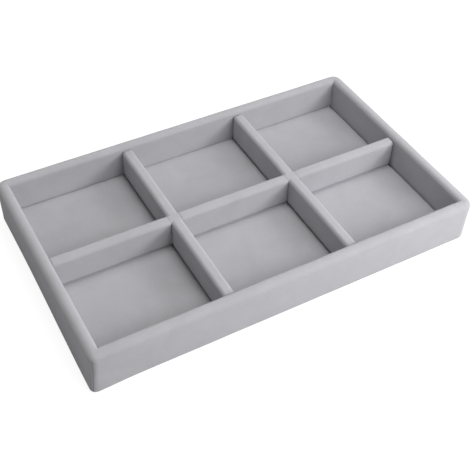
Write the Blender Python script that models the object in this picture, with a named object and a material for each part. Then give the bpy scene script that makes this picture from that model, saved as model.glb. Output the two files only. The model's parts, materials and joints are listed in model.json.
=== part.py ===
"""Jewelry organizer: a cloth-covered tray with six compartments and a lift-out divider grid.

Four boards, mitred at the corners, stand on a thin base board. One strip of velvet runs
round the tray: it is folded over the rim, down both faces of the walls and in under the
base, where a cover sheet hides its edge. A padded floor lies inside, and three covered
dividers stand on it, locked into each other by slots of half their height.

X runs along the tray, -Y is its front and Z is up. The origin is the middle of the
underside. Lengths are in metres.
"""

import math

import bmesh
import bpy
from mathutils import Vector

# Overall size, over the velvet
tray_length = 0.350
tray_width = 0.2112
tray_height = 0.0406
corner_radius = 0.009
rim_outer_radius = 0.005
rim_inner_radius = 0.0035

# Sheets and boards
wall_board_thickness = 0.008
divider_board_thickness = 0.008
base_board_thickness = 0.003
base_edge_radius = 0.0006
cloth_thickness = 0.0007
cover_sheet_thickness = 0.0005
pad_card_thickness = 0.0015
pad_foam_thickness = 0.0015

# Clearances
glue_gap = 0.0003
mitre_gap = 0.0003
pad_gap = 0.0003
slot_gap = 0.0003
divider_end_gap = 0.0005

# Dividers: their tops lie below the rim, with round ends and edges
divider_drop = 0.0039
divider_end_radius = 0.0044
divider_edge_radius = 0.0036
divider_seam = 0.002
divider_seam_inset = 0.006

# Folded edges of the velvet, and the cover sheet over them
turn_under = 0.015
pad_turn_under = 0.010
pad_edge_radius = 0.0013
pad_corner_radius = 0.0016
cover_sheet_inset = 0.005
cover_sheet_corner_radius = 0.005

# Cutters reach this far past what they cut, and points nearer than this are one
overrun = 0.002
weld_distance = 0.000001

# Round edges are this many flats each
corner_steps = 8
rim_steps = 6
foot_steps = 3
edge_steps = 4
smooth_angle = math.radians(40)

# The velvet stands off each board by a glue line
skin = glue_gap + cloth_thickness
foot_radius = base_edge_radius + skin
wall_thickness = wall_board_thickness + 2 * skin
divider_thickness = divider_board_thickness + 2 * skin

# Heights, from the table upwards
turn_under_bottom = cover_sheet_thickness + glue_gap
base_bottom = turn_under_bottom + skin
base_top = base_bottom + base_board_thickness
deck = base_top + glue_gap
card_bottom = deck + skin
card_top = card_bottom + pad_card_thickness
foam_bottom = card_top + glue_gap
foam_top = foam_bottom + pad_foam_thickness
floor_top = foam_top + skin
divider_bottom = floor_top + glue_gap
divider_top = tray_height - divider_drop
slot_meeting = (divider_bottom + divider_top) / 2

# Places inside the walls: three columns of compartments, two rows
half_length = tray_length / 2
half_width = tray_width / 2
inner_length = tray_length - 2 * wall_thickness
inner_width = tray_width - 2 * wall_thickness
long_divider_length = inner_length - 2 * divider_end_gap
cross_divider_length = inner_width - 2 * divider_end_gap
column_length = (inner_length - 2 * divider_thickness) / 3
cross_divider_offset = (column_length + divider_thickness) / 2
slot_width = divider_thickness + 2 * slot_gap

# The corners of an outline, in the order that a turn of a quarter circle each visits them
corner_signs = ((1, 1), (-1, 1), (-1, -1), (1, -1))


def clear_scene():
    for thing in list(bpy.data.objects):
        bpy.data.objects.remove(thing)


def finish_material(name, colour, roughness):
    made = bpy.data.materials.new(name)
    made.use_nodes = True
    shader = made.node_tree.nodes["Principled BSDF"]
    shader.inputs["Base Color"].default_value = (*colour, 1)
    shader.inputs["Roughness"].default_value = roughness
    shader.inputs["Metallic"].default_value = 0
    made.diffuse_color = (*colour, 1)
    return made


def new_object(name, shape, material=None, parent=None):
    """Closes the mesh, turns its faces outwards and makes an object of it."""
    bmesh.ops.remove_doubles(shape, verts=shape.verts, dist=weld_distance)
    bmesh.ops.dissolve_degenerate(shape, dist=weld_distance, edges=shape.edges)
    bmesh.ops.recalc_face_normals(shape, faces=shape.faces)
    mesh = bpy.data.meshes.new(name)
    shape.to_mesh(mesh)
    shape.free()
    mesh.shade_smooth()
    mesh.set_sharp_from_angle(angle=smooth_angle)
    if material:
        mesh.materials.append(material)
    made = bpy.data.objects.new(name, mesh)
    bpy.context.scene.collection.objects.link(made)
    made.parent = parent
    return made


def new_empty(name, parent=None, location=(0, 0, 0), turn=0):
    made = bpy.data.objects.new(name, None)
    bpy.context.scene.collection.objects.link(made)
    made.parent = parent
    made.location = location
    made.rotation_euler = (0, 0, turn)
    return made


# Swept shapes: a profile of (inset, height) points is carried round a rectangle


def outline_loop(half_x, half_y, radius, inset, height):
    """The rectangle moved in by inset. Its round corners tighten until they are sharp."""
    left_radius = max(radius - inset, 0)
    reach = max(radius, inset)
    points = []
    for quarter, (side_x, side_y) in enumerate(corner_signs):
        for step in range(corner_steps + 1):
            angle = (quarter + step / corner_steps) * math.pi / 2
            x = side_x * (half_x - reach) + left_radius * math.cos(angle)
            y = side_y * (half_y - reach) + left_radius * math.sin(angle)
            points.append(Vector((x, y, height)))
    return points


def sweep(half_x, half_y, radius, profile, closed):
    """A closed profile makes a ring. An open one is capped at both ends."""
    shape = bmesh.new()
    loops = []
    for inset, height in profile:
        points = outline_loop(half_x, half_y, radius, inset, height)
        loops.append([shape.verts.new(point) for point in points])
    followers = loops[1:] + loops[:1] if closed else loops[1:]
    for loop, follower in zip(loops, followers):
        for here, there in zip(range(len(loop)), [*range(1, len(loop)), 0]):
            shape.faces.new((loop[here], loop[there], follower[there], follower[here]))
    if not closed:
        shape.faces.new(loops[0])
        shape.faces.new(loops[-1])
    return shape


def profile_arc(inset, height, radius, start, end, steps):
    """A round edge of a profile, between two angles in degrees, with 0 pointing inwards."""
    angles = [math.radians(start + (end - start) * step / steps) for step in range(steps + 1)]
    return [(inset + radius * math.cos(a), height + radius * math.sin(a)) for a in angles]


def over_the_rim(depth):
    """The rim from its outer face to its inner one, on a surface that lies depth inside it."""
    outer = profile_arc(
        rim_outer_radius, tray_height - rim_outer_radius, rim_outer_radius - depth, 180, 90, rim_steps
    )
    inner = profile_arc(
        wall_thickness - rim_inner_radius,
        tray_height - rim_inner_radius,
        rim_inner_radius - depth,
        90,
        0,
        rim_steps,
    )
    return outer + inner


def under_the_foot(depth):
    """The bottom edge of the tray from below to its outer face, on a surface depth inside it."""
    height = turn_under_bottom + foot_radius
    return profile_arc(foot_radius, height, foot_radius - depth, 270, 180, foot_steps)


def plate(half_x, half_y, radius, bottom, top):
    return sweep(half_x, half_y, radius, [(0, bottom), (0, top)], closed=False)


# The tray


def make_cover_sheet(material, parent):
    shape = plate(
        half_length - cover_sheet_inset,
        half_width - cover_sheet_inset,
        cover_sheet_corner_radius,
        0,
        cover_sheet_thickness,
    )
    return new_object("base_cover_sheet", shape, material, parent)


def make_base_board(material, parent):
    profile = [*under_the_foot(skin), (skin, base_top)]
    shape = sweep(half_length, half_width, corner_radius, profile, closed=False)
    return new_object("base_board", shape, material, parent)


def make_wall_board(name, outward, material, parent):
    """One side of the board ring, cut off at its two mitres. outward points out of the tray."""
    profile = [(skin, deck), *over_the_rim(skin), (wall_thickness - skin, deck)]
    shape = sweep(half_length, half_width, corner_radius, profile, closed=True)
    along = Vector((-outward.y, outward.x, 0))
    # The far half of the ring goes first, and then what lies past each mitre
    planes = [(Vector((0, 0, 0)), -outward)]
    for sense in (1, -1):
        corner = outward + sense * along
        corner = Vector((corner.x * half_length, corner.y * half_width, 0))
        away = (sense * along - outward).normalized()
        planes.append((corner - away * mitre_gap / 2, away))
    for point, away in planes:
        bmesh.ops.bisect_plane(
            shape,
            geom=[*shape.verts, *shape.edges, *shape.faces],
            dist=weld_distance,
            plane_co=point,
            plane_no=away,
            clear_outer=True,
        )
    ends = [edge for edge in shape.edges if edge.is_boundary]
    bmesh.ops.holes_fill(shape, edges=ends, sides=0)
    return new_object(name, shape, material, parent)


def make_wall_velvet(material, parent):
    """The strip of velvet: under the base, up the outside, over the rim and down inside."""
    outside = [(turn_under, turn_under_bottom), *under_the_foot(0), *over_the_rim(0), (wall_thickness, deck)]
    lining = [
        (turn_under, turn_under_bottom + cloth_thickness),
        *under_the_foot(cloth_thickness),
        *over_the_rim(cloth_thickness),
        (wall_thickness - cloth_thickness, deck),
    ]
    shape = sweep(half_length, half_width, corner_radius, outside + lining[::-1], closed=True)
    return new_object("wall_velvet", shape, material, parent)


# The padded floor: velvet drawn round a card with a thin foam on it


def pad_half_sizes(inset):
    return inner_length / 2 - pad_gap - inset, inner_width / 2 - pad_gap - inset


def make_floor_card(material, parent):
    shape = plate(*pad_half_sizes(skin), pad_corner_radius - skin, card_bottom, card_top)
    return new_object("floor_card", shape, material, parent)


def make_floor_foam(material, parent):
    shape = plate(*pad_half_sizes(skin), pad_corner_radius - skin, foam_bottom, foam_top)
    return new_object("floor_foam", shape, material, parent)


def make_floor_velvet(material, parent):
    def over_the_edge(depth):
        height = floor_top - pad_edge_radius
        return profile_arc(pad_edge_radius, height, pad_edge_radius - depth, 90, 180, foot_steps)

    outside = [*over_the_edge(0), (0, deck), (pad_turn_under, deck)]
    lining = [
        *over_the_edge(cloth_thickness),
        (cloth_thickness, deck + cloth_thickness),
        (pad_turn_under, deck + cloth_thickness),
    ]
    shape = sweep(*pad_half_sizes(0), pad_corner_radius, outside + lining[::-1], closed=False)
    return new_object("floor_velvet", shape, material, parent)


# The dividers: boards with a velvet sleeve, slotted into each other


def divider_blank(length, inset):
    """An upright board along X with round top corners and edges, moved in by inset."""
    half = length / 2 - inset
    bottom = divider_bottom + inset
    top = divider_top - inset
    end_radius = divider_end_radius - inset
    side = [(half, bottom), (-half, bottom)]
    for sense, angles in ((-1, range(edge_steps + 1)), (1, reversed(range(edge_steps + 1)))):
        for step in angles:
            angle = step / edge_steps * math.pi / 2
            x = half - end_radius + end_radius * math.cos(angle)
            side.append((sense * x, top - end_radius + end_radius * math.sin(angle)))
    shape = bmesh.new()
    half_thickness = divider_thickness / 2 - inset
    face = shape.faces.new([shape.verts.new((x, -half_thickness, z)) for x, z in side])
    pulled = bmesh.ops.extrude_face_region(shape, geom=[face])["geom"]
    pulled = [item for item in pulled if isinstance(item, bmesh.types.BMVert)]
    bmesh.ops.translate(shape, verts=pulled, vec=(0, 2 * half_thickness, 0))
    bmesh.ops.recalc_face_normals(shape, faces=shape.faces)
    rims = []
    for edge in shape.edges:
        first, second = edge.verts
        on_one_face = first.co.y * second.co.y > 0
        at_the_foot = max(first.co.z, second.co.z) < bottom + weld_distance
        if on_one_face and not at_the_foot:
            rims.append(edge)
    bmesh.ops.bevel(
        shape,
        geom=rims,
        offset=divider_edge_radius - inset,
        offset_type="OFFSET",
        segments=edge_steps,
        profile=0.5,
        affect="EDGES",
    )
    return shape


def make_cutter(name, centre_x, size_x, size_y, bottom, top, parent):
    shape = bmesh.new()
    bmesh.ops.create_cube(shape, size=1)
    bmesh.ops.scale(shape, vec=(size_x, size_y, top - bottom), verts=shape.verts)
    bmesh.ops.translate(shape, vec=(centre_x, 0, (bottom + top) / 2), verts=shape.verts)
    return as_cutter(new_object(name, shape, parent=parent))


def as_cutter(thing):
    thing.hide_render = True
    thing.display_type = "WIRE"
    return thing


def cut(thing, cutter):
    made = thing.modifiers.new("cut_" + cutter.name, "BOOLEAN")
    made.operation = "DIFFERENCE"
    made.solver = "EXACT"
    made.object = cutter


def make_slot(name, centre_x, opens_up, parent):
    """The cutters of one slot. The velvet lines it, so the board's slot is the widest."""
    cutters = {}
    for part, margin in (("velvet", 0), ("room", cloth_thickness), ("board", skin)):
        if opens_up:
            bottom = slot_meeting - glue_gap / 2 - margin
            top = divider_top + overrun
        else:
            bottom = divider_bottom - overrun
            top = slot_meeting + glue_gap / 2 + margin
        width = slot_width + 2 * margin
        through = divider_thickness + 2 * overrun
        cutters[part] = make_cutter(name + "_for_" + part, centre_x, width, through, bottom, top, parent)
    return cutters


def make_divider(name, length, slots, board_material, velvet_material, parent):
    """A covered divider. Its velvet is a solid with the board's room and a seam cut out."""
    board = new_object(name + "_board", divider_blank(length, skin), board_material, parent)
    velvet = new_object(name + "_velvet", divider_blank(length, 0), velvet_material, parent)
    room = as_cutter(new_object(name + "_room", divider_blank(length, cloth_thickness), parent=parent))
    seam_length = length - 2 * divider_seam_inset
    seam_top = divider_bottom + cloth_thickness + overrun
    seam = make_cutter(name + "_seam", 0, seam_length, divider_seam, divider_bottom - overrun, seam_top, parent)
    for slot in slots:
        cut(board, slot["board"])
        cut(room, slot["room"])
        cut(velvet, slot["velvet"])
    cut(velvet, room)
    cut(velvet, seam)


def make_long_divider(board_material, velvet_material, parent):
    """Its slots are open at the top, one for each cross divider."""
    slots = []
    for side, sense in (("left", -1), ("right", 1)):
        place = sense * cross_divider_offset
        slots.append(make_slot("long_divider_slot_" + side, place, True, parent))
    make_divider("long_divider", long_divider_length, slots, board_material, velvet_material, parent)


def make_cross_divider(name, board_material, velvet_material, parent):
    """Its slot is open at the bottom and sits astride the long divider."""
    slot = make_slot(name + "_slot", 0, False, parent)
    make_divider(name, cross_divider_length, [slot], board_material, velvet_material, parent)


def build():
    clear_scene()
    velvet = finish_material("grey_velvet", (0.46, 0.46, 0.48), 0.95)
    fibreboard = finish_material("fibreboard", (0.42, 0.29, 0.17), 0.85)
    card = finish_material("grey_card", (0.34, 0.32, 0.30), 0.9)
    foam = finish_material("white_foam", (0.80, 0.80, 0.78), 0.95)
    cover = finish_material("dark_cover_sheet", (0.09, 0.09, 0.10), 0.95)

    tray = new_empty("tray")
    make_cover_sheet(cover, tray)
    make_base_board(fibreboard, tray)
    make_wall_board("front_wall_board", Vector((0, -1, 0)), fibreboard, tray)
    make_wall_board("back_wall_board", Vector((0, 1, 0)), fibreboard, tray)
    make_wall_board("left_wall_board", Vector((-1, 0, 0)), fibreboard, tray)
    make_wall_board("right_wall_board", Vector((1, 0, 0)), fibreboard, tray)
    make_wall_velvet(velvet, tray)
    make_floor_card(card, tray)
    make_floor_foam(foam, tray)
    make_floor_velvet(velvet, tray)

    grid = new_empty("long_divider", tray)
    make_long_divider(fibreboard, velvet, grid)
    for side, sense in (("left", -1), ("right", 1)):
        name = "cross_divider_" + side
        place = (sense * cross_divider_offset, 0, 0)
        make_cross_divider(name, fibreboard, velvet, new_empty(name, grid, place, math.pi / 2))


build()
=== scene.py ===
# %% [markdown]
# # A velvet tray for jewelry
# The real tray is a shallow box of boards with one strip of grey velvet drawn over its walls,
# a padded velvet floor, and three covered dividers that slot into each other. The boards come
# from the CAD model as they are. Everything soft, the cloth and the foam, is modelled here,
# over those boards, because cloth has soft folds and a nap that a CAD solid can't show.
#
# Lengths are in metres. +X runs along the tray, -Y is its front, and Z is up.

# %% Load the CAD model as a fixed frame
import json
import math

import bmesh
import bpy
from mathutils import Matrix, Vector, noise


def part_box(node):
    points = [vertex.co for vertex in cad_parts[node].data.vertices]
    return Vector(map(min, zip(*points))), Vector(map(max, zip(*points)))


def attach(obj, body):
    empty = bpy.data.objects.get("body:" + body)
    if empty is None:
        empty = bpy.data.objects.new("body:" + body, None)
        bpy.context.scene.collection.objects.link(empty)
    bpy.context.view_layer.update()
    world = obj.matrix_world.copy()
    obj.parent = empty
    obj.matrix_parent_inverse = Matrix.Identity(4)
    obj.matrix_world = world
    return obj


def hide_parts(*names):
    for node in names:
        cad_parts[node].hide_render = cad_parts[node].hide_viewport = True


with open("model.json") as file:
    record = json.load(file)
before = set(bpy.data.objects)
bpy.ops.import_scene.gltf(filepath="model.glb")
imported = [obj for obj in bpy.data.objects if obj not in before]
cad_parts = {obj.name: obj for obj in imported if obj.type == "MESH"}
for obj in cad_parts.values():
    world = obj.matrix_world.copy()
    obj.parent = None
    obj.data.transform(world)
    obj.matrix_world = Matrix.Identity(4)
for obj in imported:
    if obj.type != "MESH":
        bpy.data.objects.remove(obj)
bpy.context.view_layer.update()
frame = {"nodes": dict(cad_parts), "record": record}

# %% [markdown]
# ## The camera
# The photo looks down at the tray from its front left corner. The place, turn and focal length
# were found by matching about 300 points of the photo with the same points of the CAD model,
# so the render can be laid over the photo. The lens is a mild telephoto, which keeps the
# tray's long edges nearly parallel.

# %% Camera
camera_data = bpy.data.cameras.new("photo_camera")
camera_data.lens = 65.99
camera_data.sensor_width = 36
camera_data.clip_start = 0.01
camera = bpy.data.objects.new("photo_camera", camera_data)
camera.location = (-0.2736, -0.4606, 0.5373)
camera.rotation_euler = [math.radians(turn) for turn in (44.283, -1.755, -29.128)]
bpy.context.scene.collection.objects.link(camera)
bpy.context.scene.camera = camera
print("camera:", round(camera.location.length, 2), "m from the tray")

# %% [markdown]
# ## A few tools for modelling
# Every soft piece but the flat cover sheet starts as a cube of the piece's own size. It is
# opened in edit mode, cut and bevelled, and then closed again. An operator works on whatever
# is selected, so each tool below first says exactly what that is. Faces and edges are picked
# by where they lie, which stays true however the mesh is numbered.

# %% Start a piece, and pick parts of it
X, Y, Z = 0, 1, 2
NEAR = 0.00002
SIDES = (-1, 1)


def start_block(name, low, high):
    """Adds a cube that fills the box from low to high, and opens it in edit mode."""
    bpy.ops.object.select_all(action="DESELECT")
    bpy.ops.mesh.primitive_cube_add(size=1, location=(low + high) / 2, scale=high - low)
    bpy.ops.object.transform_apply(location=True, rotation=True, scale=True)
    piece = bpy.context.object
    piece.name = name
    piece.data.name = name
    bpy.ops.object.mode_set(mode="EDIT")
    return piece


def middle_of(edge):
    return (edge.verts[0].co + edge.verts[1].co) / 2


def runs_along(edge, axis):
    span = edge.verts[1].co - edge.verts[0].co
    return abs(span[axis]) > span.length - NEAR


def pick(kind, wanted):
    """Selects the faces or edges of the open piece that pass the test, and counts them."""
    bpy.ops.mesh.select_mode(type=kind)
    bpy.ops.mesh.select_all(action="DESELECT")
    shape = bmesh.from_edit_mesh(bpy.context.object.data)
    parts = shape.faces if kind == "FACE" else shape.edges
    chosen = [part for part in parts if wanted(part)]
    for part in chosen:
        part.select_set(True)
    bmesh.update_edit_mesh(bpy.context.object.data)
    return len(chosen)


# %% [markdown]
# A cut right through the block leaves a ring of edges where a bend, a fold or a slot will be.
# The long stretches between those cuts are then divided evenly, so that each face is about
# as long as it is wide and the cloth can be moved point by point. The loop cut tool needs a
# mouse, so Bisect and Subdivide do its work here.

# %% Cut a piece across, and divide it
def cut_across(axis, places):
    """Cuts the open piece right through at each place on one axis, and keeps both sides."""
    for place in places:
        normal = Vector((0, 0, 0))
        normal[axis] = 1
        bpy.ops.mesh.select_all(action="SELECT")
        bpy.ops.mesh.bisect(plane_co=normal * place, plane_no=normal)


def divide_along(axis, spacing):
    """Divides the long stretches between the cuts evenly, about spacing apart.

    The stretch at each end of the block stays whole, because a bevel will need its room.
    """
    shape = bmesh.from_edit_mesh(bpy.context.object.data)
    start = min(point.co[axis] for point in shape.verts)
    end = max(point.co[axis] for point in shape.verts)

    def stretch_of(edge):
        here = sorted(round(point.co[axis], 5) for point in edge.verts)
        at_an_end = here[0] < start + NEAR or here[1] > end - NEAR
        return None if at_an_end or not runs_along(edge, axis) else tuple(here)

    stretches = {stretch_of(edge) for edge in shape.edges} - {None}
    for stretch in sorted(stretches):
        cuts = round((stretch[1] - stretch[0]) / spacing) - 1
        if cuts > 0:
            pick("EDGE", lambda edge: stretch_of(edge) == stretch)
            bpy.ops.mesh.subdivide(number_cuts=cuts)


# %% [markdown]
# Velvet over a board has no sharp edge, so nearly every edge gets a bevel with a round
# profile. Such an edge is told by the two faces that meet at it: at a rim, one of them faces
# up and the other sideways.

# %% Round the edges between two kinds of faces
MOSTLY = 0.9
BARELY = 0.1


def bevel_picked(radius, steps):
    bpy.ops.mesh.bevel(
        offset=radius, offset_type="OFFSET", segments=steps, profile=0.5, affect="EDGES"
    )


def round_off(wanted, radius, steps):
    """Rounds the edges of the open piece that pass the test."""
    pick("EDGE", wanted)
    bevel_picked(radius, steps)


def between(edge, one, other):
    """True where one face of an edge passes the first test and its other face the second."""
    if len(edge.link_faces) != 2:
        return False
    first, second = (face.normal for face in edge.link_faces)
    return one(first) and other(second) or one(second) and other(first)


def faces_up(normal):
    return normal.z > MOSTLY


def faces_down(normal):
    return normal.z < -MOSTLY


def faces_sideways(normal):
    return abs(normal.z) < BARELY


def at_a_rim(edge):
    return between(edge, faces_up, faces_sideways)


def at_a_foot(edge):
    return between(edge, faces_down, faces_sideways)


# %% [markdown]
# ## Cloth from a shell
# When a piece's outer form is done, the open shell is closed into cloth. Its points are moved
# a little along their normals first, as velvet that was laid by hand is never quite flat, and
# then a Solidify modifier gives it a thickness towards the board. The moves come from smooth
# noise, which is the same on every run. A cloth simulation was the other choice, but velvet
# that is glued tight to a board has nothing to fall or swell, so moving the points is truer.

# %% Move the points of a shell, and close it
cloth_thickness = 0.0007
smooth_below = math.radians(42)


def leave_edit_mode():
    """Turns all faces outwards and goes back to object mode."""
    bpy.ops.mesh.select_all(action="SELECT")
    bpy.ops.mesh.normals_make_consistent(inside=False)
    bpy.ops.object.mode_set(mode="OBJECT")


def soft_noise(place, size, seed):
    """Smooth noise between about -1 and 1, whose bumps are about size apart."""
    return noise.noise(place / size + Vector((seed, 2 * seed, 3 * seed)))


def smooth_step(value, start, end):
    """Goes from 0 to 1 between start and end, with no kink at either."""
    share = min(max((value - start) / (end - start), 0), 1)
    return share * share * (3 - 2 * share)


def move_points(piece, shift):
    """Moves each point of a piece by shift(place, normal)."""
    moves = [shift(point.co.copy(), point.normal.copy()) for point in piece.data.vertices]
    for point, move in zip(piece.data.vertices, moves):
        point.co += move
    longest = max(move.length for move in moves)
    print(piece.name, "moved by up to", round(1000 * longest, 2), "mm")


def close_cloth(piece, thickness=cloth_thickness):
    """Gives a shell its thickness, inwards, and smooths its shading."""
    bpy.ops.object.select_all(action="DESELECT")
    bpy.context.view_layer.objects.active = piece
    piece.select_set(True)
    solid = piece.modifiers.new("cloth", "SOLIDIFY")
    solid.thickness = thickness
    solid.offset = -1
    solid.use_even_offset = True
    bpy.ops.object.modifier_apply(modifier=solid.name)
    bpy.ops.object.shade_smooth_by_angle(angle=smooth_below)
    print(piece.name, len(piece.data.polygons), "faces")


# %% [markdown]
# ## The strip over the walls
# One long strip of velvet goes round the tray: in under the base, up the outside, over the
# rim and down the inside. The rim is nearly a half round, and the outer corners are soft.
# Extruding a profile along a path would also give this, but then the sharp inner corners and
# the round outer ones need different paths. A block whose top is cut and pushed down keeps
# both, and every side stays a grid of four-sided faces.

# %% The strip: a block with a well
wall_thickness = 0.010
turn_under = 0.015
well_bottom = 0.0051
strip_low, strip_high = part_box("wall_velvet")
half_length = strip_high.x
half_width = strip_high.y
tray_top = strip_high.z
strip_bottom = strip_low.z
corner_radius = 0.009
seam_corner_radius = 0.006
rim_outer_radius = 0.0053
rim_inner_radius = 0.0038
foot_radius = 0.0021
well_x = half_length - wall_thickness
well_y = half_width - wall_thickness
wall_grid = 0.0032


def within(place, reach_x, reach_y):
    """True where a place lies less than reach from the middle of the tray, both ways."""
    return abs(place.x) < reach_x and abs(place.y) < reach_y


def over_the_well(face):
    return faces_up(face.normal) and within(face.calc_center_median(), well_x, well_y)


def inside_the_turn_under(face):
    place = face.calc_center_median()
    inside = within(place, half_length - turn_under, half_width - turn_under)
    return inside and faces_down(face.normal)


strip = start_block("velvet_wall_strip", strip_low, strip_high)
cut_across(X, [side * reach for side in SIDES for reach in (well_x, half_length - turn_under)])
cut_across(Y, [side * reach for side in SIDES for reach in (well_y, half_width - turn_under)])
pick("FACE", over_the_well)
push_down = {"value": (0, 0, well_bottom - tray_top)}
bpy.ops.mesh.extrude_region_move(TRANSFORM_OT_translate=push_down)
bpy.ops.mesh.delete(type="FACE")
pick("FACE", inside_the_turn_under)
bpy.ops.mesh.delete(type="FACE")
cut_across(Z, [strip_bottom + 2 * foot_radius, tray_top - 1.2 * rim_outer_radius])
for axis in (X, Y, Z):
    divide_along(axis, wall_grid)
print("grid of the strip:", 1000 * wall_grid, "mm")

# %% [markdown]
# The corners come first and the rim after them, so that the rim's bevel runs round each
# corner in one sweep. The strip's two ends meet at the front left corner. That seam is a
# narrow groove: the corner's middle edge is bevelled and its middle line pushed in.

# %% The strip: corners, rim, foot and end seam
seam_half_width = 0.0006


def upright_at(edge, reach_x, reach_y):
    """True for an upright edge at an outer corner of a block of that half size."""
    place = middle_of(edge)
    at_corner = abs(place.x) > reach_x - NEAR and abs(place.y) > reach_y - NEAR
    return at_corner and runs_along(edge, Z)


def outer_corner(edge):
    return upright_at(edge, half_length, half_width)


def seam_corner(edge):
    return outer_corner(edge) and middle_of(edge).x < 0 and middle_of(edge).y < 0


def at_the_top(edge):
    return at_a_rim(edge) and middle_of(edge).z > tray_top - NEAR


def rim_inside(edge):
    return at_the_top(edge) and within(middle_of(edge), well_x + NEAR, well_y + NEAR)


def rim_outside(edge):
    return at_the_top(edge) and not rim_inside(edge)


round_off(seam_corner, seam_corner_radius, steps=12)
round_off(outer_corner, corner_radius, steps=12)
round_off(rim_outside, rim_outer_radius, steps=8)
round_off(rim_inside, rim_inner_radius, steps=7)
round_off(at_a_foot, foot_radius, steps=4)

seam_reach = seam_corner_radius * (1 - math.sqrt(0.5))
seam_x = seam_reach - half_length
seam_y = seam_reach - half_width


def end_seam(edge):
    place = middle_of(edge)
    return runs_along(edge, Z) and abs(place.x - seam_x) < NEAR and abs(place.y - seam_y) < NEAR


print("seam edges:", pick("EDGE", end_seam))
bevel_picked(seam_half_width, steps=2)
leave_edit_mode()

# %% [markdown]
# At the front left corner the strip's folded ends fill the corner out, so below the rim it is
# nearly square, and the foot of the left wall stands out a little towards it. Both are shifts
# that fade out smoothly with the distance from the corner. The flare moves only the outer
# skin, so it also fades out across the wall.

# %% The strip: a full corner and a flared foot
full_corner_radius = 0.0055
full_below = 0.016
round_above = 0.034
foot_flare = 0.0022
foot_flare_from_y = 0.06
corner_flare = 0.0010
corner_flare_length = 0.035
flare_height = 0.030
skin_start = 0.009
skin_end = 0.002


def fill_corner(place):
    """Tightens the round of the seam corner below the rim."""
    tighter = seam_corner_radius - full_corner_radius
    centre_x = seam_corner_radius - half_length
    centre_y = seam_corner_radius - half_width
    if place.x > centre_x + NEAR or place.y > centre_y + NEAR:
        return Vector((0, 0, 0))
    share = 1 - smooth_step(place.z, full_below, round_above)
    across = (place.x - centre_x) / seam_corner_radius
    along = (place.y - centre_y) / seam_corner_radius
    return share * tighter * Vector((-1 - across, -1 - along, 0))


def flare_foot(place):
    """Leans the outer faces out towards the bottom of the seam corner."""
    low = 1 - smooth_step(place.z, 0, flare_height)
    on_left = smooth_step(-place.x, half_length - skin_start, half_length - skin_end)
    towards_front = smooth_step(-place.y, -foot_flare_from_y, half_width)
    in_front = smooth_step(-place.y, half_width - skin_start, half_width - skin_end)
    towards_left = smooth_step(-place.x, half_length - corner_flare_length, half_length)
    shift_x = -foot_flare * on_left * towards_front
    shift_y = -corner_flare * in_front * towards_left
    return low * Vector((shift_x, shift_y, 0))


# %% [markdown]
# Velvet over a rim isn't ruler-straight: the rim swells and sinks by a few tenths of a
# millimetre over a few centimetres, and the flat faces waver less. It swells more than it
# sinks, so the cloth never reaches the board or the floor pad. The seam's middle line is
# pushed in, and the turned-in edge underneath stays flat.

# %% The strip: hand-laid unevenness, and cloth
rim_waver = 0.00024
rim_swell = 0.4
face_waver = 0.00012
rim_zone_start = 0.030
rim_zone_height = 0.006
seam_depth = 0.0006
seam_line_width = 0.0002


def lay_strip(place, normal):
    near_rim = min(max((place.z - rim_zone_start) / rim_zone_height, 0), 1)
    amount = face_waver + (rim_waver - face_waver) * near_rim
    slow = soft_noise(place, size=0.034, seed=3)
    waver = 0.65 * slow + 0.35 * soft_noise(place, size=0.011, seed=8)
    move = normal * amount * (waver + rim_swell * near_rim)
    on_seam = abs(place.x - seam_x) + abs(place.y - seam_y) < seam_line_width
    if on_seam and faces_sideways(normal):
        move -= normal * seam_depth
    if place.z < strip_bottom + NEAR:
        move.z = 0
    return move + fill_corner(place) + flare_foot(place)


move_points(strip, lay_strip)
close_cloth(strip)

# %% [markdown]
# ## The floor pad
# The floor is a card with a thin foam on it, and velvet drawn round both and folded under.
# It is pressed in between the walls, so its top edge is soft and doesn't follow the wall
# exactly. The divider grid stands on it and presses furrows into the foam, so the dividers'
# places are needed before the pad is cut. They come from the boxes of their CAD nodes. A
# furrow deepens over the last millimetres under a divider and ends just past its face.

# %% Where the dividers stand on the floor
long_low, long_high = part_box("long_divider_velvet")
right_low, right_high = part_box("cross_divider_right_velvet")
cross_half_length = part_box("cross_divider_left_velvet")[1].y
divider_half = long_high.y
cross_x = (right_low.x + right_high.x) / 2
furrow_rise = (-0.0030, -0.0021, -0.0012)
furrow_fall = (0.0003, 0.0005, 0.0007, 0.0009)
press_places = [divider_half + step for step in (*furrow_rise, 0, *furrow_fall)]


def cut_for_the_press():
    """Cuts the open piece close together where the dividers press it in."""
    cut_across(Y, [side * place for side in SIDES for place in press_places])
    for middle in (-cross_x, cross_x):
        cut_across(X, [middle + side * place for side in SIDES for place in press_places])


print("cross dividers at", round(1000 * cross_x, 1), "mm to each side")

# %% [markdown]
# The pad's velvet starts as a low block. Its underside stays open in the middle, where the
# bare card shows, and its side is cut at the height where the stiff card ends and the soft
# foam begins.

# %% The floor's velvet: a low block without its middle underneath
pad_low, pad_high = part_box("floor_velvet")
card_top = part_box("floor_card")[1].z
stiff_side = card_top + 0.0004
soft_side = card_top + 0.0010
pad_edge_radius = 0.0007
pad_corner_radius = 0.0016
pad_fold_radius = 0.0007
pad_turn_under = 0.010
pad_margin = 0.0035
pad_grid = 0.0027


def under_the_pad(face):
    place = face.calc_center_median()
    inside = within(place, pad_high.x - pad_turn_under, pad_high.y - pad_turn_under)
    return inside and faces_down(face.normal)


def pad_corner(edge):
    return upright_at(edge, pad_high.x, pad_high.y)


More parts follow.
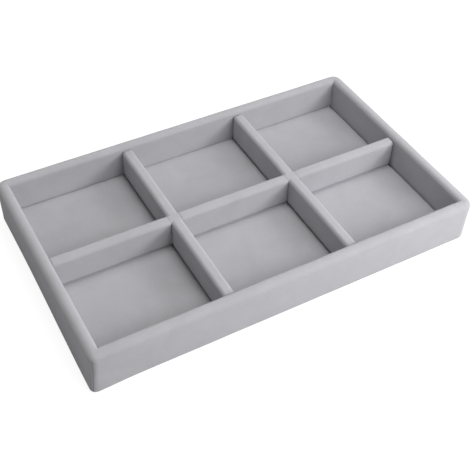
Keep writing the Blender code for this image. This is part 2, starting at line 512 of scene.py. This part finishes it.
pad = start_block("velvet_floor_pad", pad_low, pad_high)
for axis, reach in ((X, pad_high.x), (Y, pad_high.y)):
    insets = (pad_margin, pad_turn_under)
    cut_across(axis, [side * (reach - inset) for side in SIDES for inset in insets])
cut_across(Z, [stiff_side, soft_side])
cut_for_the_press()
pick("FACE", under_the_pad)
bpy.ops.mesh.delete(type="FACE")
divide_along(X, pad_grid)
divide_along(Y, pad_grid)
round_off(pad_corner, pad_corner_radius, steps=4)
round_off(at_a_rim, pad_edge_radius, steps=4)
round_off(at_a_foot, pad_fold_radius, steps=2)
leave_edit_mode()
print("pad:", len(pad.data.polygons), "faces before its velvet has a thickness")

# %% [markdown]
# Hand-stuffed foam leaves the pad's edge uneven, with a dark dip here and there. Towards the
# right wall the pad is a little too short, and the whole upper half of its side stands back
# and leaves a gap. At the back it fits closely, except in the left compartment.

# %% The floor's velvet: an uneven edge
top_swell = 0.00010
edge_dip = 0.0006
right_dip = 0.0008
snug_at_back = -0.00012
snug_until_x = 0.050
loose_from_x = 0.080
corner_fade = (0.003, 0.012)
flat_edge = 0.004
settling = 0.35


def dip_of_edge(place, edge_x, edge_y):
    """How far the soft edge of the pad stands back from the wall beside it."""
    on_short_side = edge_x < edge_y
    slow = soft_noise(place, size=0.017, seed=11)
    share = 0.5 + 0.8 * slow + 0.5 * soft_noise(place, size=0.006, seed=12)
    dip = edge_dip * min(max(share, 0), 1) * smooth_step(max(edge_x, edge_y), *corner_fade)
    if on_short_side and place.x > 0:
        return max(dip, right_dip * (1 + 0.8 * abs(soft_noise(place, size=0.009, seed=13))))
    if place.y > 0 and edge_y < edge_x:
        loose = smooth_step(-place.x, snug_until_x, loose_from_x)
        return snug_at_back + (dip - snug_at_back) * loose
    return dip


def lay_pad(place, normal):
    move = Vector((0, 0, 0))
    edge_x = pad_high.x - abs(place.x)
    edge_y = pad_high.y - abs(place.y)
    if place.z > pad_high.z - 1.1 * pad_edge_radius:
        slow = soft_noise(place, size=0.030, seed=5)
        swell = 0.6 * slow + 0.4 * soft_noise(place, size=0.012, seed=6)
        free = smooth_step(min(edge_x, edge_y), 0, flat_edge)
        move.z = free * top_swell * swell
    if place.z > soft_side - NEAR and min(edge_x, edge_y) < 1.2 * pad_edge_radius:
        dip = dip_of_edge(place, edge_x, edge_y)
        if edge_y < edge_x:
            move.y = -math.copysign(dip, place.y)
        else:
            move.x = -math.copysign(dip, place.x)
        if place.z > soft_side + NEAR:
            move.z -= settling * max(dip, 0)
    return move


# %% [markdown]
# The foam gives most along the foot of each divider's face, where the sleeve is folded, so
# there is a narrow furrow that looks like a dark line. The furrows are pressed in after the
# velvet has its thickness, so that both of its sides go straight down together and never
# cross.

# %% The floor's velvet: furrows under the dividers
long_furrow = 0.0004
cross_furrow = 0.0016


def furrow(across):
    """1 in the furrow along a divider's face, 0 under its middle and out on the floor."""
    past = abs(across) - divider_half
    rise = smooth_step(past, furrow_rise[0], furrow_rise[-1])
    return rise * (1 - smooth_step(past, furrow_fall[0], furrow_fall[-1]))


def pressed_in(place):
    """How deep the floor is pressed in. The cross dividers stand on it harder."""
    return max(long_furrow * furrow(place.y), cross_furrow * furrow(abs(place.x) - cross_x))


def press_in(place, normal):
    share = smooth_step(place.z, card_top, soft_side)
    return Vector((0, 0, -share * pressed_in(place)))


move_points(pad, lay_pad)
close_cloth(pad)
move_points(pad, press_in)

# %% [markdown]
# The foam fills the pad under its velvet. It is a slab with its top edges squeezed round by
# the cloth, so a bevelled block is all it needs.

# %% The foam in the floor pad
foam_squeeze = 0.0012
foam_sink = 0.0002
foam_margin = 0.003
foam_grid = 0.008
foam_edge_radius = 0.0009
foam_unevenness = 0.00006
thinnest_foam = 0.0002
foam_low, foam_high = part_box("floor_foam")
foam_low = foam_low + Vector((foam_squeeze, foam_squeeze, 0))
foam_high = foam_high - Vector((foam_squeeze, foam_squeeze, foam_sink))


def lay_foam(place, normal):
    if place.z < foam_high.z - NEAR:
        return Vector((0, 0, 0))
    sink = pressed_in(place) + foam_unevenness * abs(soft_noise(place, size=0.02, seed=4))
    return Vector((0, 0, -min(sink, foam_high.z - foam_low.z - thinnest_foam)))


foam = start_block("floor_pad_foam", foam_low, foam_high)
cut_across(X, [side * (foam_high.x - foam_margin) for side in SIDES])
cut_across(Y, [side * (foam_high.y - foam_margin) for side in SIDES])
cut_for_the_press()
divide_along(X, foam_grid)
divide_along(Y, foam_grid)
round_off(at_a_rim, foam_edge_radius, steps=3)
leave_edit_mode()
move_points(foam, lay_foam)
bpy.ops.object.shade_smooth_by_angle(angle=smooth_below)

# %% [markdown]
# ## The dividers
# Each divider is a board in a sleeve of velvet whose seam runs along the foot. Its top edges
# are round, and its ends are drawn nearly square by the folded cloth. The sleeves are
# slotted with their boards: the long one from above and the cross ones from below, and the
# velvet lines each slot. A boolean could cut the slots, but it leaves long thin triangles.
# Here the block is cut across at the slot's sides and floor, and what lies in the slot is
# deleted. What is left open is then lined with new faces, which keeps the grid.

# %% Line a slot
slot_gap = 0.0003
slot_half = divider_half + slot_gap
slot_edge_radius = 0.0004
ALMOST_ONE = 0.99


def on_plane(edge, axis, place):
    return all(abs(point.co[axis] - place) < NEAR for point in edge.verts)


def line_slot(slot, slot_end):
    """Fills the two sides and the floor of a slot, and rounds the lining's upper edge."""
    slot_sides = (slot - slot_half, slot + slot_half)
    for side in slot_sides:
        pick("EDGE", lambda edge: edge.is_boundary and on_plane(edge, X, side))
        bpy.ops.mesh.edge_face_add()

    def round_the_floor(edge):
        in_slot = abs(middle_of(edge).x - slot) < slot_half + NEAR
        return edge.is_boundary and in_slot and on_plane(edge, Z, slot_end)

    def rim_of_slot(edge):
        into_slot = [abs(face.normal.x) > ALMOST_ONE for face in edge.link_faces]
        one_of_two = len(into_slot) == 2 and into_slot[0] != into_slot[1]
        return one_of_two and any(on_plane(edge, X, side) for side in slot_sides)

    pick("EDGE", round_the_floor)
    bpy.ops.mesh.edge_face_add()
    round_off(rim_of_slot, slot_edge_radius, steps=3)


# %% [markdown]
# All three sleeves are made along X by one function, whatever their length and slots. The
# seam along the foot is left open for most of its length, as only its ends are tucked in.

# %% A divider's sleeve, along X
divider_end_radius = 0.0016
divider_edge_radius = 0.0032
divider_fold_radius = 0.0015
end_room = 0.0048
seam_width = 0.002
seam_inset = 0.006
slot_middle = (long_low.z + long_high.z) / 2
slot_clearance = 0.00015
sleeve_grid = 0.0026
end_bend = math.radians(45)
foot_bend = math.radians(60)


def make_sleeve(name, half, slots, slot_on_top, fine_cuts):
    """A shell half long to each side of the middle, slotted at each place in slots."""
    low = Vector((-half, -divider_half, long_low.z))
    high = Vector((half, divider_half, long_high.z))
    slot_end = slot_middle - slot_clearance if slot_on_top else slot_middle + slot_clearance
    seam_end = half - seam_inset

    def top_edge(edge):
        place = middle_of(edge)
        at_top = place.z > high.z - NEAR and abs(place.y) > divider_half - NEAR
        return at_top and runs_along(edge, X)

    def at_the_foot(edge):
        return middle_of(edge).z < low.z + NEAR

    def round_an_end(edge):
        at_end = all(abs(point.co.x) > half - NEAR for point in edge.verts)
        return at_end and not at_the_foot(edge) and edge.calc_face_angle(0) > end_bend

    def round_the_foot(edge):
        return at_the_foot(edge) and edge.calc_face_angle(0) > foot_bend

    def in_a_slot(face):
        place = face.calc_center_median()
        past = place.z > slot_end if slot_on_top else place.z < slot_end
        return past and min(abs(place.x - slot) for slot in slots) < slot_half

    def in_the_seam(face):
        inside = within(face.calc_center_median(), seam_end, seam_width / 2)
        return inside and faces_down(face.normal)

    sleeve = start_block(name, low, high)
    cut_across(X, [slot + side * slot_half for slot in slots for side in SIDES])
    cut_across(X, [side * reach for side in SIDES for reach in (seam_end, half - end_room)])
    cut_across(X, fine_cuts)
    cut_across(Y, [-seam_width / 2, seam_width / 2])
    cut_across(Z, [low.z + 2 * divider_fold_radius, slot_end, high.z - end_room])
    divide_along(X, sleeve_grid)
    divide_along(Z, sleeve_grid)
    round_off(top_edge, divider_edge_radius, steps=8)
    round_off(round_an_end, divider_end_radius, steps=4)
    round_off(round_the_foot, divider_fold_radius, steps=3)
    print(name, "slot faces:", pick("FACE", in_a_slot))
    bpy.ops.mesh.delete(type="FACE")
    print(name, "seam faces:", pick("FACE", in_the_seam))
    bpy.ops.mesh.delete(type="FACE")
    for slot in slots:
        line_slot(slot, slot_end)
    return sleeve


long_sleeve = make_sleeve(
    "velvet_long_divider", long_high.x, slots=[-cross_x, cross_x], slot_on_top=True, fine_cuts=[]
)
leave_edit_mode()

# %% [markdown]
# Both cross dividers are the same, so one is modelled, turned a quarter round the upright
# axis, and copied with a mesh of its own. Each is then moved to its place in edit mode, which
# leaves the object itself at the origin. The cuts close together are where the two tops will
# meet. They stop short of the slot's sides, because the slot's rounded edge needs that room.

# %% The two cross dividers' sleeves
crossing_cuts = [divider_half * step / 11 for step in range(-10, 11)]
cross_left = make_sleeve(
    "velvet_cross_divider_left",
    cross_half_length,
    slots=[0],
    slot_on_top=False,
    fine_cuts=crossing_cuts,
)
bpy.ops.mesh.select_all(action="SELECT")
bpy.ops.transform.rotate(value=math.pi / 2, orient_axis="Z", center_override=(0, 0, 0))
leave_edit_mode()
bpy.ops.object.duplicate(linked=False)
cross_right = bpy.context.object
cross_right.name = "velvet_cross_divider_right"
cross_right.data.name = cross_right.name
for sleeve, place in ((cross_left, -cross_x), (cross_right, cross_x)):
    bpy.ops.object.select_all(action="DESELECT")
    bpy.context.view_layer.objects.active = sleeve
    sleeve.select_set(True)
    bpy.ops.object.mode_set(mode="EDIT")
    bpy.ops.mesh.select_all(action="SELECT")
    bpy.ops.transform.translate(value=(place, 0, 0))
    leave_edit_mode()
    print(sleeve.name, "at", round(1000 * place, 1), "mm")

# %% [markdown]
# Where two dividers cross, the cross one fills the crossing. Its rounded edge is lifted there
# to the height of the long divider's own rounding, so the two tops meet in a soft valley, as
# the photo shows.

# %% Fill the crossings
crossing_spread = 0.0002
crossing_softness = 0.00015


def height_of_rounding(across):
    """The height of a divider's rounded top at a distance from its middle plane."""
    past = abs(across) - (divider_half - divider_edge_radius)
    drop = divider_edge_radius - math.sqrt(divider_edge_radius**2 - max(past, 0) ** 2)
    return long_high.z - drop


def fill_crossing(place):
    """Lifts and spreads the rounded edge of a cross divider where the long one runs into it."""
    across = abs(place.x) - cross_x
    wanted = Vector(place)
    if abs(place.y) < divider_half and place.z > long_high.z - divider_edge_radius - NEAR:
        wanted.z = max(place.z, height_of_rounding(place.y))
        past_flat = smooth_step(abs(across), divider_half - divider_edge_radius, divider_half)
        wanted.x += math.copysign(crossing_spread * past_flat, place.x * across)
        if abs(across) > divider_half - NEAR:
            wanted.z -= crossing_softness
    return wanted - place


# %% [markdown]
# The tops are crowned a little where they run free and drawn in where they cross, which
# leaves small dimples. The left end of the long divider is pressed to the wall. Each sleeve
# takes its noise from another place, so that no two of them waver alike.

# %% Hand-laid unevenness of the sleeves, and cloth
crown = 0.00025
crown_drawn_in = 0.4
side_waver = 0.00010
top_waver = 0.00012
top_zone = 0.004
crossing_zone = (0.007, 0.016)
snug_reach = 0.0004
snug_zone = 0.004


def lay_sleeve(seed, is_cross):
    """Gives the shift of one sleeve's points, whose noise depends on seed."""

    def lay(place, normal):
        from_crossing = math.hypot(abs(place.x) - cross_x, place.y)
        free = smooth_step(from_crossing, *crossing_zone)
        on_top = smooth_step(place.z, long_high.z - top_zone, long_high.z)
        slow = soft_noise(place, size=0.024, seed=seed)
        waver = 0.6 * slow + 0.4 * soft_noise(place, size=0.009, seed=seed + 1)
        side = side_waver * waver * free
        top = on_top * (crown * (free - crown_drawn_in) + top_waver * waver)
        move = normal * side + Vector((0, 0, top))
        if is_cross:
            return move + fill_crossing(place)
        move.x -= snug_reach * smooth_step(-place.x, long_high.x - snug_zone, long_high.x)
        return move

    return lay


sleeves = ((long_sleeve, 21, False), (cross_left, 24, True), (cross_right, 27, True))
for sleeve, seed, is_cross in sleeves:
    move_points(sleeve, lay_sleeve(seed, is_cross))
    close_cloth(sleeve)

# %% [markdown]
# ## The cover sheet under the base
# A thin pressed-fibre sheet hides the velvet's edge on the underside. It is a flat sheet with
# rounded corners, glued on, so a plane with bevelled corners and a thickness is enough.

# %% Cover sheet
cover_low, cover_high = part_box("base_cover_sheet")
cover_corner_radius = 0.005
cover_size = cover_high - cover_low
bpy.ops.object.select_all(action="DESELECT")
bpy.ops.mesh.primitive_plane_add(size=1, location=(0, 0, cover_high.z))
cover = bpy.context.object
cover.name = "cover_sheet_under_base"
cover.data.name = cover.name
cover.scale = (cover_size.x, cover_size.y, 1)
bpy.ops.object.transform_apply(location=True, rotation=True, scale=True)
bpy.ops.object.mode_set(mode="EDIT")
bpy.ops.mesh.select_all(action="SELECT")
bpy.ops.mesh.bevel(
    offset=cover_corner_radius, offset_type="OFFSET", segments=6, affect="VERTICES"
)
leave_edit_mode()
close_cloth(cover, cover_size.z)

# %% [markdown]
# ## Writing materials as sums
# A material is a net of nodes. Wiring Math nodes one by one hides what is worked out, so a
# socket is wrapped in a small class on which Python's own operators add the Math node.

# %% A socket that can be added and multiplied
class Wire:
    """A node's output. +, - and * on it add a Math node and give the new output."""

    def __init__(self, finish, output):
        self.finish = finish
        self.output = output

    def math(self, operation, first, second):
        return self.finish.node("ShaderNodeMath", {"operation": operation}, {0: first, 1: second})

    def __add__(self, other):
        return self.math("ADD", self, other)

    def __radd__(self, other):
        return self.math("ADD", other, self)

    def __sub__(self, other):
        return self.math("SUBTRACT", self, other)

    def __rsub__(self, other):
        return self.math("SUBTRACT", other, self)

    def __mul__(self, other):
        return self.math("MULTIPLY", self, other)

    def __rmul__(self, other):
        return self.math("MULTIPLY", other, self)

    def clamped(self):
        return self.finish.node("ShaderNodeClamp", {}, {"Value": self, "Min": 0, "Max": 1})


# %% [markdown]
# Every other node comes from one method, which takes the node's type, its settings and the
# values or links of its sockets. The nodes that are needed again and again, such as noise and
# bump, have a short method of their own.

# %% A material that makes nodes
class Finish:
    """A material, with methods that add its nodes."""

    def __init__(self, name):
        self.material = bpy.data.materials.new(name)
        self.material.use_nodes = True
        self.tree = self.material.node_tree
        self.shader = self.tree.nodes["Principled BSDF"]

    def node(self, kind, settings, inputs, output=0):
        made = self.tree.nodes.new(kind)
        for key, value in settings.items():
            setattr(made, key, value)
        for key, value in inputs.items():
            self.feed(made.inputs[key], value)
        return Wire(self, made.outputs[output])

    def feed(self, socket, value):
        if isinstance(value, Wire):
            self.tree.links.new(value.output, socket)
        else:
            socket.default_value = value

    def set(self, **values):
        """Sets the shader's sockets, whose names are given with _ for each space."""
        for key, value in values.items():
            self.feed(self.shader.inputs[key.replace("_", " ")], value)

    def place(self):
        """Where a point is in the piece's own space, in metres."""
        return self.node("ShaderNodeTexCoord", {}, {}, "Object")

    def grain(self, where, size, detail=2.0, roughness=0.5, distortion=0.0):
        """Noise from 0 to 1 whose spots are about size across."""
        inputs = {
            "Vector": where,
            "Scale": 1 / size,
            "Detail": detail,
            "Roughness": roughness,
            "Distortion": distortion,
        }
        return self.node("ShaderNodeTexNoise", {}, inputs, "Fac")

    def blend(self, share, first, second):
        """A colour between two others."""
        inputs = {"Factor": share, 6: first, 7: second}
        return self.node("ShaderNodeMix", {"data_type": "RGBA"}, inputs, 2)

    def bump(self, height, depth, strength=1.0):
        """A normal that follows height, which goes from 0 to 1 for depth metres."""
        inputs = {"Height": height, "Distance": depth, "Strength": strength}
        return self.node("ShaderNodeBump", {}, inputs, "Normal")


# %% [markdown]
# ## Velvet
# Short-pile velvet has no weave to see. Its nap makes three things instead: a very fine
# grain, faint clouds where the pile leans another way, and a soft sheen at the edges that
# turn away. The clouds and the grain are noise of three sizes, added up and used to mix two
# greys. The sheen belongs to the shader and is the same all over. The mirror part is turned
# almost off, because a pile of fibres has no smooth surface.

# %% Velvet
velvet_greys = ((0.304, 0.301, 0.315, 1), (0.394, 0.390, 0.409, 1))
sheen_colour = (0.935, 0.935, 1, 1)


def velvet_finish():
    velvet = Finish("grey_velvet")
    where = velvet.place()
    lean = velvet.grain(where, size=0.026, detail=3, roughness=0.55, distortion=0.6)
    mottle = velvet.grain(where, size=0.0028, detail=3, roughness=0.6)
    nap = velvet.grain(where, size=0.00045, detail=2, roughness=0.6)
    shade = 0.5 + 0.9 * (lean - 0.5) + 0.35 * (mottle - 0.5) + 0.45 * (nap - 0.5)
    height = nap * 0.5 + mottle * 0.5
    velvet.set(
        Base_Color=velvet.blend(shade.clamped(), *velvet_greys),
        Roughness=0.86 + 0.12 * lean,
        Specular_IOR_Level=0.04,
        Sheen_Weight=0.35,
        Sheen_Roughness=0.85,
        Sheen_Tint=sheen_colour,
        Normal=velvet.bump(height, depth=0.00025, strength=0.6),
    )
    return velvet.material


velvet_material = velvet_finish()
print("velvet:", len(velvet_material.node_tree.nodes), "nodes")

# %% [markdown]
# ## The hidden materials
# The boards show in the slots when the dividers are lifted, and the cover sheet from below.
# Both are pressed from short fibres, brown in the board and nearly black in the sheet, so
# their grain is noise that is stretched along the fibres.

# %% Fibreboard and cover sheet
board_browns = ((0.24, 0.15, 0.08, 1), (0.52, 0.37, 0.22, 1))
cover_greys = ((0.045, 0.045, 0.052, 1), (0.15, 0.15, 0.165, 1))


def stretched(finish, where, stretch):
    """The place, squeezed or stretched along each axis."""
    return finish.node("ShaderNodeVectorMath", {"operation": "MULTIPLY"}, {0: where, 1: stretch})


def fibreboard_finish():
    board = Finish("bare_fibreboard")
    where = board.place()
    along = stretched(board, where, (0.35, 0.35, 1))
    fibres = board.grain(along, size=0.0006, detail=4, roughness=0.7)
    clouds = board.grain(where, size=0.014, detail=3)
    shade = (0.2 + 0.6 * fibres + 0.4 * (clouds - 0.5)).clamped()
    board.set(
        Base_Color=board.blend(shade, *board_browns),
        Roughness=0.78 + 0.15 * fibres,
        Normal=board.bump(fibres, depth=0.0001, strength=0.5),
    )
    return board.material


def cover_finish():
    sheet = Finish("dark_cover_sheet")
    where = sheet.place()
    along = stretched(sheet, where, (1, 0.3, 1))
    fibres = sheet.grain(along, size=0.0007, detail=4, roughness=0.7)
    clouds = sheet.grain(where, size=0.018, detail=3)
    shade = (0.1 + 0.7 * fibres + 0.5 * (clouds - 0.5)).clamped()
    sheet.set(
        Base_Color=sheet.blend(shade, *cover_greys),
        Roughness=0.85 + 0.12 * fibres,
        Normal=sheet.bump(fibres, depth=0.00015, strength=0.6),
    )
    return sheet.material


# %% [markdown]
# The card and the foam show only when the pad is opened. Card is grey and flecked. Foam is
# full of pits, for which cell noise is right.

# %% Card and foam
card_greys = ((0.25, 0.235, 0.215, 1), (0.43, 0.41, 0.385, 1))
foam_whites = ((0.55, 0.54, 0.50, 1), (0.86, 0.86, 0.84, 1))
pits_per_metre = 1100


def card_finish():
    card = Finish("grey_card")
    where = card.place()
    flecks = card.grain(where, size=0.0009, detail=3, roughness=0.65)
    clouds = card.grain(where, size=0.02)
    shade = (flecks + 0.3 * (clouds - 0.5)).clamped()
    card.set(
        Base_Color=card.blend(shade, *card_greys),
        Roughness=0.85 + 0.1 * flecks,
        Normal=card.bump(flecks, depth=0.00005, strength=0.4),
    )
    return card.material


def foam_finish():
    sponge = Finish("white_foam")
    where = sponge.place()
    spread = {"Vector": where, "Scale": pits_per_metre}
    pits = sponge.node("ShaderNodeTexVoronoi", {}, spread, "Distance")
    clouds = sponge.grain(where, size=0.012)
    shade = (0.3 + 0.9 * pits + 0.2 * (clouds - 0.5)).clamped()
    sponge.set(
        Base_Color=sponge.blend(shade, *foam_whites),
        Roughness=0.95 - 0.05 * pits,
        Normal=sponge.bump(pits, depth=0.0003, strength=0.7),
    )
    return sponge.material


# %% [markdown]
# ## Giving each piece its finish
# A CAD node keeps its mesh and only gets a better material in its slot. The new pieces of
# cloth take theirs the same way.

# %% Assign the materials
materials = {
    "velvet": velvet_material,
    "fibreboard": fibreboard_finish(),
    "card": card_finish(),
    "foam": foam_finish(),
    "cover_sheet": cover_finish(),
}


def dress(piece, slot):
    piece.data.materials.clear()
    piece.data.materials.append(materials[slot])


for row in frame["record"]["subparts"]:
    dress(frame["nodes"][row["node"]], row["material_slot"])
print("materials:", ", ".join(materials))

# %% [markdown]
# ## What each piece stands for
# Every piece rides on the body that it belongs to, so that it follows when a divider is
# lifted, and takes the place of the plain CAD solid. The table also gives how large each
# sheet was cut: what it covers and what is turned in, laid flat.

# %% Ride, replace and dress
strip_cut = (0.094, 1.108)
pad_cut = (0.221, 0.359)
cover_cut = (0.202, 0.340)
long_cut = (0.066, 0.338)
cross_cut = (0.066, 0.200)
soft_pieces = (
    (strip, "tray", "wall_velvet", "velvet", strip_cut),
    (pad, "tray", "floor_velvet", "velvet", pad_cut),
    (cover, "tray", "base_cover_sheet", "cover_sheet", cover_cut),
    (long_sleeve, "long_divider", "long_divider_velvet", "velvet", long_cut),
    (cross_left, "cross_divider_left", "cross_divider_left_velvet", "velvet", cross_cut),
    (cross_right, "cross_divider_right", "cross_divider_right_velvet", "velvet", cross_cut),
)
for piece, body, node, slot, cut_size in soft_pieces:
    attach(piece, body)
    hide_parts(node)
    dress(piece, slot)
    print(piece.name, "rides on", body, "and replaces", node)
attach(foam, "tray")
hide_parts("floor_foam")
dress(foam, "foam")

# %% [markdown]
# ## Floor, background and light
# The photo has a white background with no edge. A white floor would need so much light that
# the velvet would bleach, so the floor is a pale matt plane that is mostly plain white to the
# camera alone, and keeps a faint shadow. It lies a hair below the tray, because two faces in
# one plane flicker.

# %% White for the camera, pale for the light
def seen_directly(finish):
    """1 for rays that show the background itself: straight, mirrored or through glass."""
    straight = finish.node("ShaderNodeLightPath", {}, {}, "Is Camera Ray")
    kinds = straight.output.node.outputs
    glossy = Wire(finish, kinds["Is Glossy Ray"])
    through = Wire(finish, kinds["Is Transmission Ray"])
    return (straight + glossy + through).clamped()


def pure(level):
    """A grey without a tint."""
    return (level, level, level, 1)


glow_strength = 0.9
pale = Finish("pale_floor")
glow = pale.node("ShaderNodeEmission", {}, {"Color": pure(1), "Strength": glow_strength})
shadow_catcher = pale.node("ShaderNodeBsdfDiffuse", {}, {"Color": pure(0.2)})
white_with_shadow = pale.node("ShaderNodeAddShader", {}, {0: glow, 1: shadow_catcher})
pale.set(Base_Color=pure(0.55), Roughness=0.9, Specular_IOR_Level=0.1)
matt = Wire(pale, pale.shader.outputs[0])
two_looks = {"Fac": seen_directly(pale), 1: matt, 2: white_with_shadow}
shown = pale.node("ShaderNodeMixShader", {}, two_looks)
pale.feed(pale.tree.nodes["Material Output"].inputs["Surface"], shown)

floor_size = 8
hair = 0.0002
bpy.ops.object.select_all(action="DESELECT")
bpy.ops.mesh.primitive_plane_add(size=floor_size, location=(0, 0, -hair))
floor = bpy.context.object
floor.name = "studio_floor"
floor.data.materials.append(pale.material)
print("floor:", floor_size, "m wide,", 1000 * hair, "mm below the tray")

# %% [markdown]
# Four soft lamps give the greys of the photo. One overhead lights the tops and the floors
# down between the walls. Two stand to the right and in front, one high and one low, and make
# the front faces as bright as the tops, and brighter to the right. A wide low one behind
# keeps the back from going dull. The faces to the left get only what the world and the other
# surfaces send them. How strong each lamp is was worked out from renders with one lamp at a
# time, set against the photo's greys, and then evened out.

# %% Lamps: name, place, size and power in watts
lamps = (
    ("overhead_lamp", (0.05, 0.15, 0.95), (0.35, 0.35), 2.9),
    ("right_front_lamp", (0.25, -0.70, 0.90), (0.5, 0.5), 4.8),
    ("low_right_lamp", (0.50, -0.60, 0.40), (0.4, 0.3), 4.9),
    ("rear_lamp", (0.05, 0.85, 0.35), (0.9, 0.4), 2.0),
)
for name, place, size, power in lamps:
    lamp_data = bpy.data.lights.new(name, "AREA")
    lamp_data.shape = "RECTANGLE"
    lamp_data.size, lamp_data.size_y = size
    lamp_data.energy = power
    lamp = bpy.data.objects.new(name, lamp_data)
    lamp.location = place
    lamp.rotation_euler = (-Vector(place)).to_track_quat("-Z", "Y").to_euler()
    bpy.context.scene.collection.objects.link(lamp)
print("lamps:", len(lamps), "with", round(sum(power for *_, power in lamps), 1), "W")

# %% [markdown]
# The world is white where the camera looks straight at it, and a weak, slightly warm fill for
# everything else. It has nodes like a material's, so the same class makes them.

# %% World
class Surroundings(Finish):
    """The world's nodes, made in the same way as a material's."""

    def __init__(self, world):
        world.use_nodes = True
        self.tree = world.node_tree


fill_colour = (1.0, 0.99, 0.975, 1)
fill_strength = 0.27
studio = bpy.data.worlds.new("studio")
bpy.context.scene.world = studio
air = Surroundings(studio)
fill = air.node("ShaderNodeBackground", {}, {"Color": fill_colour, "Strength": fill_strength})
white = air.node("ShaderNodeBackground", {}, {"Color": pure(1), "Strength": 1.0})
sky = air.node("ShaderNodeMixShader", {}, {"Fac": seen_directly(air), 1: fill, 2: white})
air.feed(air.tree.nodes["World Output"].inputs["Surface"], sky)

bpy.context.scene.view_settings.view_transform = "Standard"
print("fill:", fill_strength, "of the background's white")
